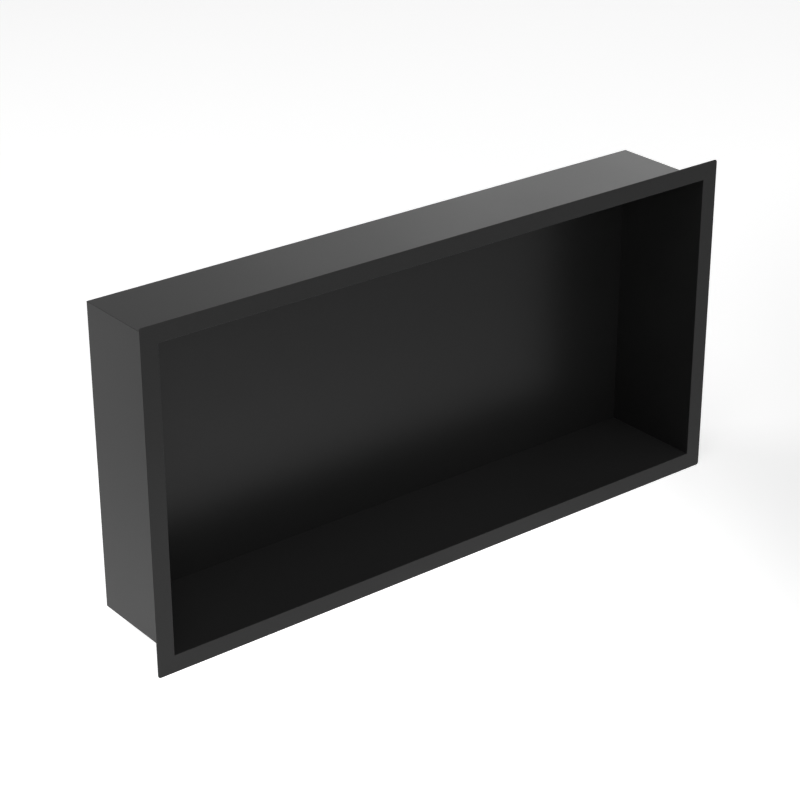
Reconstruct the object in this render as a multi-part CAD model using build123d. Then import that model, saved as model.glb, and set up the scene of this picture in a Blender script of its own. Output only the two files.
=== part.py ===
from build123d import *
import os

# Shower niche insert: a shallow steel pan, open at the front, with a flat flange round its mouth.
#
# Pan and flange are one sheet of stainless steel. Four walls are folded forward from the back panel,
# a strip of each wall is folded outward again to make the flange, and the corners are welded and
# ground flush, so the finished piece is a single closed solid.
#
# Frame: millimetres, X to the right, Y into the wall, Z up. The origin is the middle of the flange's
# rear face, which lies on the finished wall. The open front faces -Y.

# Driving dimensions
opening_width = 574.4  # clear width between the side walls
opening_height = 272.8  # clear height between the floor and the roof of the niche
overall_depth = 101.6  # front of the flange to the rear of the back panel
flange_rim = 16.0  # width of the flange as seen round the opening
sheet = 1.0  # thickness of the steel
flange_corner_radius = 2.4  # rounding of the flange's four outer corners
fold_radius = 0.4  # outside of every fold: the lip of the opening and the pan's rear edges
seam_radius = 0.4  # outside of the ground weld along each corner of the pan
edge_break = 0.2  # deburred front edge of the flange

# Sizes that follow from them
flange_width = opening_width + 2 * flange_rim
flange_height = opening_height + 2 * flange_rim
pan_width = opening_width + 2 * sheet
pan_height = opening_height + 2 * sheet
back_panel_rear = overall_depth - sheet  # how deep the pan reaches behind the wall's face
cavity_depth = overall_depth - sheet  # from the front of the flange to the back panel

# Planes that look into the wall, so that sketches on them are extruded towards +Y
wall_plane = Plane(origin=(0, 0, 0), x_dir=(1, 0, 0), z_dir=(0, 1, 0))
front_plane = wall_plane.offset(-sheet)


def foremost_face(solid):
    """The face of a solid that lies furthest out of the wall."""
    return solid.faces().sort_by(Axis.Y)[0]


def rearmost_face(solid):
    """The face of a solid that lies deepest in the wall."""
    return solid.faces().sort_by(Axis.Y)[-1]


def pan_block():
    """The outside of the pan: ground weld seams at its corners and folds round its back panel."""
    outline = RectangleRounded(pan_width, pan_height, seam_radius)
    block = extrude(wall_plane * outline, amount=back_panel_rear)
    return fillet(rearmost_face(block).edges(), fold_radius)


def flange_plate():
    """The flange before its opening is cut: rounded corners and a deburred front edge."""
    outline = RectangleRounded(flange_width, flange_height, flange_corner_radius)
    plate = extrude(front_plane * outline, amount=sheet)
    return fillet(foremost_face(plate).edges(), edge_break)


def cavity():
    """The space inside the niche. The sheet is grooved before it is folded, so its edges stay sharp."""
    outline = Rectangle(opening_width, opening_height)
    return extrude(front_plane * outline, amount=cavity_depth)


def niche_insert():
    """The whole folded and welded sheet, with the lip where the flange turns into the walls."""
    sharp_lipped = pan_block() + flange_plate() - cavity()
    lip = foremost_face(sharp_lipped).inner_wires()[0].edges()
    return fillet(lip, fold_radius)


os.makedirs("parts", exist_ok=True)
export_step(niche_insert(), "parts/niche_insert.step")
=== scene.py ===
# %% [markdown]
# # A shower niche insert in black coated steel
#
# The object is one piece: a shallow pan folded from a single steel sheet, with a flat flange turned
# outward round its open front. It is set into a tiled wall, so that only the flange and the inside are
# seen in use. The sheet carries a satin black powder coating, and that finish is what this lesson is
# about: on a black thing nearly all the light that reaches the eye is reflected, so the shapes are read
# from what the faces mirror and from how soft those mirror images are.
#
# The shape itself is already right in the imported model, with its folds, its welded corners and the lip
# of the flange. It stays as it is, and gets a finish, a floor to stand on, light and a camera.

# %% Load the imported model
import math

import bpy
from mathutils import Matrix, Vector


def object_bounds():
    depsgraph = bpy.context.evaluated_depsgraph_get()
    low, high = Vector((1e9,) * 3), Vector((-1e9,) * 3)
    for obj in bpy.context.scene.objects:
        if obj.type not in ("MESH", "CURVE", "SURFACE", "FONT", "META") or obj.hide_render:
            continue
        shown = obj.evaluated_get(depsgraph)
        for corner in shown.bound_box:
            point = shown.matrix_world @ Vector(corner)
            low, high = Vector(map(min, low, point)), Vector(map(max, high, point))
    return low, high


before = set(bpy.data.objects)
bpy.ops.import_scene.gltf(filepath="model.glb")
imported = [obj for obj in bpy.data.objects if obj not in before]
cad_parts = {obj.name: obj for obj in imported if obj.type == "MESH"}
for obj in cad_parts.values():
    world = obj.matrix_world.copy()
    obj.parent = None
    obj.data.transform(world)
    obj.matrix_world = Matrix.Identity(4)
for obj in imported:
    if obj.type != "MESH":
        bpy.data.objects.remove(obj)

cad_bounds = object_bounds()
low, high = cad_bounds
middle = (low + high) / 2
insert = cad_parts["niche_insert"]
MM_PER_METRE = 1000.0


def size_in_mm(bounds):
    """The sides of a box in rounded millimetres, from its lowest and highest corners."""
    lowest, highest = bounds
    return [round(MM_PER_METRE * side, 1) for side in highest - lowest]


print("niche insert, size in mm:", size_in_mm(cad_bounds))

# %% [markdown]
# ## Camera
#
# A long lens from the front left, a little above: the flange runs away to the right, and the top and the
# left wall of the pan show behind it. A camera could be aimed at a target with a constraint. Here its
# place and angles are worked out once from the straight edges of the object and written down, so that
# every edge falls where it should.

# %% Camera
CAMERA_PLACE = Vector((-1.0863, -1.3051, 0.8104))  # metres, in the model's own frame
CAMERA_AZIMUTH = math.radians(38.27)  # turned to the right from looking straight at the wall
CAMERA_DIP = math.radians(25.404)  # tilted down from the horizon
CAMERA_ROLL = math.radians(-0.104)  # turned about the line of sight
CAMERA_LENS = 100.15  # millimetres, on the default 36 mm sensor


def camera_axes(azimuth, dip, roll):
    """The camera's own X, Y and Z axes as the columns of a rotation."""
    forward = Vector(
        (math.sin(azimuth) * math.cos(dip), math.cos(azimuth) * math.cos(dip), -math.sin(dip))
    )
    right = Vector((math.cos(azimuth), -math.sin(azimuth), 0))
    up = right.cross(forward)
    rolled_right = right * math.cos(roll) + up * math.sin(roll)
    rolled_up = up * math.cos(roll) - right * math.sin(roll)
    return Matrix((rolled_right, rolled_up, -forward)).transposed()


camera_data = bpy.data.cameras.new("camera")
camera_data.lens = CAMERA_LENS
camera = bpy.data.objects.new("camera", camera_data)
camera.matrix_world = camera_axes(CAMERA_AZIMUTH, CAMERA_DIP, CAMERA_ROLL).to_4x4()
camera.location = CAMERA_PLACE
bpy.context.scene.collection.objects.link(camera)
bpy.context.scene.camera = camera
bpy.context.scene.view_settings.view_transform = "Standard"
print("camera is", round((CAMERA_PLACE - middle).length, 3), "m from the middle of the insert")

# %% [markdown]
# ## Arithmetic for shaders
#
# A material is a small formula over the surface. Wired by hand, each plus sign is a node and two links,
# and the formula is soon lost among them. Here one class stands for a socket that gives a value. Adding
# or multiplying two of them puts the Math node in place, so that the coating below reads as a formula.
# Every other kind of node comes from its `node` method.

# %% A socket that can be calculated with
class Wire:
    """An output socket of a node tree. Arithmetic on it adds Math nodes to the tree."""

    def __init__(self, tree, socket=None):
        self.tree = tree
        self.socket = socket

    def plug(self, socket, value):
        """Link a wire to a socket, or set the socket to a plain value."""
        if isinstance(value, Wire):
            self.tree.links.new(value.socket, socket)
        else:
            socket.default_value = value

    def node(self, kind, settings, sockets, output=0):
        """Add a node: its settings first, then its sockets, and hand back one of its outputs."""
        made = self.tree.nodes.new(kind)
        for name, setting in settings.items():
            setattr(made, name, setting)
        for name, value in sockets.items():
            self.plug(made.inputs[name], value)
        return Wire(self.tree, made.outputs[output])

    def math(self, operation, first, second):
        """Add a Math node for two values, each a wire or a plain number."""
        return self.node("ShaderNodeMath", {"operation": operation}, {0: first, 1: second})

    def __add__(self, other):
        return self.math("ADD", self, other)

    def __radd__(self, other):
        return self.math("ADD", other, self)

    def __sub__(self, other):
        return self.math("SUBTRACT", self, other)

    def __rsub__(self, other):
        return self.math("SUBTRACT", other, self)

    def __mul__(self, other):
        return self.math("MULTIPLY", self, other)

    def __rmul__(self, other):
        return self.math("MULTIPLY", other, self)


print("a wire can be added, subtracted and multiplied")


# %% Starting a material
def new_material(name):
    """An empty material with a Principled shader, and a wire to start its formula from."""
    material = bpy.data.materials.new(name)
    material.use_nodes = True
    shader = material.node_tree.nodes["Principled BSDF"]
    print("new material:", name)
    return material, shader, Wire(material.node_tree)


def grey_colour(level):
    """A grey whose lightness is a wire."""
    return level.node("ShaderNodeCombineColor", {}, {"Red": level, "Green": level, "Blue": level})


print("materials start from a Principled shader, and their colours are greys")

# %% [markdown]
# ## The black coating
#
# Powder coating is plastic dust that is baked until it melts into a film. Black pigment swallows nearly
# all light that gets into the film, so the base colour is almost nothing, and the clear skin of the film
# mirrors a small share of what stands around it. The skin is satin: its mirror images are blurred until
# only broad patches of light and dark are left.
#
# A flat black with one roughness would do that much. A real film also has detail, too fine to see from
# across a room: it sets with a slow ripple called orange peel, a few millimetres from crest to crest,
# with a finer tooth on top of it, and it is a little duller where the film lies thicker. Noise patterns
# in millimetres give each of these its real size, on every face and round every fold, with no unwrapping.

# %% Patterns of the coating, measured in millimetres
PEEL_SPACING = 3.4  # from one ripple of the film to the next
TOOTH_SPACING = 2.0  # fine texture on top of the ripples
CLOUD_SPACING = 70.0  # slow change of the film's thickness
# Layers of finer noise that each pattern carries
PEEL_LAYERS = 1.0
TOOTH_LAYERS = 0.0
CLOUD_LAYERS = 2.0
NOISE_MIDDLE = 0.5  # noise runs from 0 to 1, about this value


def millimetres(start):
    """Where a point lies on the insert, in millimetres, so that patterns have real spacings."""
    place = start.node("ShaderNodeTexCoord", {}, {}, "Object")
    sockets = {0: place, "Scale": MM_PER_METRE}
    return start.node("ShaderNodeVectorMath", {"operation": "SCALE"}, sockets)


def ripple(place, spacing, layers):
    """A smooth random pattern from 0 to 1, with its crests about one spacing apart."""
    sockets = {"Vector": place, "Scale": 1 / spacing, "Detail": layers}
    return place.node("ShaderNodeTexNoise", {"noise_dimensions": "3D"}, sockets)


print("ripples of", PEEL_SPACING, "and", TOOTH_SPACING, "mm, clouds of", CLOUD_SPACING, "mm")

# %% The coating itself
COAT_BLACK = 0.0160  # share of light that the pigment gives back
COAT_BLACK_SPREAD = 0.0016  # how much that share changes over the surface
COAT_ROUGHNESS = 0.33
COAT_ROUGHNESS_SPREAD = 0.05
CLOUD_SHARE = 0.7  # share of the clouds in the change of roughness; the ripples make the rest
PEEL_SHARE = 0.75  # share of the ripples in the height of the skin; the tooth makes the rest
PEEL_HEIGHT = 12e-6  # metres from the troughs of the skin to its crests
COAT_IOR = 1.30  # the skin of the film mirrors under 2 percent of what lies straight in front of it


def black_coat():
    """Satin black powder coating with orange peel."""
    material, shader, start = new_material("black_coat")
    place = millimetres(start)
    peel = ripple(place, PEEL_SPACING, PEEL_LAYERS)
    tooth = ripple(place, TOOTH_SPACING, TOOTH_LAYERS)
    cloud = ripple(place, CLOUD_SPACING, CLOUD_LAYERS)

    pigment = COAT_BLACK + COAT_BLACK_SPREAD * (cloud + tooth - 2 * NOISE_MIDDLE)
    film = CLOUD_SHARE * cloud + (1 - CLOUD_SHARE) * peel
    dull = COAT_ROUGHNESS + COAT_ROUGHNESS_SPREAD * (film - NOISE_MIDDLE)
    height = PEEL_SHARE * peel + (1 - PEEL_SHARE) * tooth
    bump = {"Strength": 1.0, "Distance": PEEL_HEIGHT, "Height": height}
    skin = start.node("ShaderNodeBump", {}, bump)

    start.plug(shader.inputs["Base Color"], grey_colour(pigment))
    start.plug(shader.inputs["Roughness"], dull)
    start.plug(shader.inputs["Normal"], skin)
    shader.inputs["IOR"].default_value = COAT_IOR
    return material


coat = black_coat()
insert.data.materials.clear()
insert.data.materials.append(coat)
print("coating:", len(coat.node_tree.nodes), "nodes on", len(insert.data.polygons), "faces")

# %% [markdown]
# ## Floor
#
# The insert stands on a sheet of white paper in a pale room. Paper that is lit only by the lamps turns
# grey towards the horizon, and brighter lamps would wash out the black coating. So the paper glows a
# little by itself, as on a light table, and only for rays that see it, straight from the camera or in a
# mirror image. It throws no light on the insert, and still takes its soft shadow.
#
# A black face mirrors the floor in front of it. Where a face should be light the paper glows more, a
# painted pool of light, and where it should be dark it glows less, a painted patch of shade, as a
# photographer lays white and grey cards round a black thing. The painted light lies under the left half of
# the insert, and the painted shade in front of it on the right.

# %% Floor
FLOOR_SIDE = 80.0  # metres

floor_mesh = bpy.data.meshes.new("floor")
half = FLOOR_SIDE / 2
floor_mesh.from_pydata(
    [(-half, -half, low.z), (half, -half, low.z), (half, half, low.z), (-half, half, low.z)],
    [],
    [(0, 1, 2, 3)],
)
floor = bpy.data.objects.new("floor", floor_mesh)
bpy.context.scene.collection.objects.link(floor)
print("floor lies at", round(MM_PER_METRE * low.z, 1), "mm, under the flange's lower edge")


# %% Rays that see and places on the floor
def seeing_rays(start):
    """1 for rays that see a surface, straight, mirrored or through glass, and 0 for rays that light it."""
    camera_ray = start.node("ShaderNodeLightPath", {}, {}, "Is Camera Ray")
    glossy_ray = start.node("ShaderNodeLightPath", {}, {}, "Is Glossy Ray")
    through_ray = start.node("ShaderNodeLightPath", {}, {}, "Is Transmission Ray")
    return start.math("MAXIMUM", start.math("MAXIMUM", camera_ray, glossy_ray), through_ray)


def round_patch(start, middle_x, middle_y, even_to, ends_at):
    """1 inside a round patch of painted light or painted shade on the floor and 0 outside, fading between
    two distances from its middle.
    """
    place = start.node("ShaderNodeTexCoord", {}, {}, "Object")
    ends = {0: place, 1: (middle_x, middle_y, low.z)}
    distance = start.node("ShaderNodeVectorMath", {"operation": "DISTANCE"}, ends, "Value")
    sockets = {"Value": distance, "From Min": ends_at, "From Max": even_to}
    return start.node("ShaderNodeMapRange", {"interpolation_type": "SMOOTHSTEP"}, sockets)


# The round cards are painted light and painted shade in the paper's glow.
print("cards on the floor are round and fade out at their edges")

# %% White paper
PAPER_WHITE = 0.90
SURROUND_GLOW = 0.58  # brightness of the paper far away, and of the room behind it
# Painted patches in metres: X and Y of the middle, and the distances from it where the patch starts to
# fade and ends
PAINTED_LIGHT_PATCH = (-0.15, 0.0, 0.15, 0.50)
PAINTED_LIGHT_GLOW = 0.38  # painted light, added to the glow round it
PAINTED_SHADE_PATCH = (1.00, -0.80, 0.40, 1.40)
PAINTED_SHADE_GLOW = -0.38  # painted shade, taken off the glow round it


def white_paper():
    """Matt white paper with a glow of its own, for seeing rays alone, with a painted pool of light and a
    painted patch of shade in that glow.
    """
    material, shader, start = new_material("white_paper")
    # Painted light under the insert and painted shade in front of it on the right, both in the paper's
    # glow
    painted_light = PAINTED_LIGHT_GLOW * round_patch(start, *PAINTED_LIGHT_PATCH)
    painted_shade = PAINTED_SHADE_GLOW * round_patch(start, *PAINTED_SHADE_PATCH)
    glow = (SURROUND_GLOW + painted_light + painted_shade) * seeing_rays(start)
    start.plug(shader.inputs["Emission Color"], grey_colour(glow))
    shader.inputs["Base Color"].default_value = (PAPER_WHITE, PAPER_WHITE, PAPER_WHITE, 1)
    shader.inputs["Emission Strength"].default_value = 1.0
    shader.inputs["Roughness"].default_value = 1.0
    shader.inputs["Specular IOR Level"].default_value = 0.0
    return material


paper = white_paper()
floor_mesh.materials.append(paper)
print("paper:", len(paper.node_tree.nodes), "nodes")

# %% [markdown]
# ## Light
#
# Each softbox is a square of even light that faces the insert. A picture of a studio wrapped round the
# scene could light it as well, but boxes can be set one by one. A black satin face shows the softbox that
# lies in its mirror direction and little else, so the boxes are placed by what each face should mirror.
# Three narrow ones low behind, each brighter than the one before, make the top of the pan lighter towards
# its right end. The one behind on the left is mirrored in the rounded weld seam between the top and the
# left wall, which would show as a dark line without it. The others light the paper and reach into the
# niche. They stand high or in front, where no flat face that the camera sees mirrors them.

# %% Softboxes
BOX_DISTANCE = 3.6  # metres from the middle of the opening
SOFTBOXES = {
    # name: azimuth and elevation in degrees, side in metres, brightness with white at 1
    "behind_1": (36, 20, 0.6, 0.9),
    "behind_2": (44, 20, 0.6, 1.6),
    "behind_3": (52, 20, 0.6, 2.0),
    "right": (120, 40, 1.6, 1.1),
    "high_front": (170, 60, 1.6, 3.5),
    "front_left": (215, 25, 1.2, 4.1),
    "high_left": (220, 66, 1.8, 2.9),
    "behind_left": (320, 40, 1.6, 3.0),
}


def softbox(name, azimuth, elevation, side, brightness):
    """A square lamp that looks at the origin; azimuth 0 is straight behind the insert, 90 on its right."""
    turn = math.radians(azimuth)
    rise = math.radians(elevation)
    towards = Vector(
        (math.sin(turn) * math.cos(rise), math.cos(turn) * math.cos(rise), math.sin(rise))
    )
    lamp = bpy.data.lights.new(name, "AREA")
    lamp.shape = "SQUARE"
    lamp.size = side
    lamp.energy = brightness * math.pi * side ** 2  # watts that give a square of this size that brightness
    box = bpy.data.objects.new(name, lamp)
    box.location = towards * BOX_DISTANCE
    box.rotation_euler = towards.to_track_quat("Z", "Y").to_euler()
    box.visible_camera = False
    bpy.context.scene.collection.objects.link(box)
    return box


boxes = [softbox(name, *values) for name, values in SOFTBOXES.items()]
print(len(boxes), "softboxes,", round(sum(box.data.energy for box in boxes), 1), "W in all")

# %% [markdown]
# ## Room
#
# Behind the paper the room is as bright as the paper far away, so that no horizon line shows from any
# side. As on the floor, this is for rays that see it. To everything else the room is nearly dark, and
# the softboxes alone set the light.

# %% Room
ROOM_GREY = 0.02  # what the room adds to the light of the softboxes

world = bpy.data.worlds.new("studio")
world.use_nodes = True
room = Wire(world.node_tree)
room_level = ROOM_GREY + (SURROUND_GLOW - ROOM_GREY) * seeing_rays(room)
room.plug(world.node_tree.nodes["Background"].inputs["Color"], grey_colour(room_level))
bpy.context.scene.world = world
print("room:", SURROUND_GLOW, "where it is seen,", ROOM_GREY, "as light")
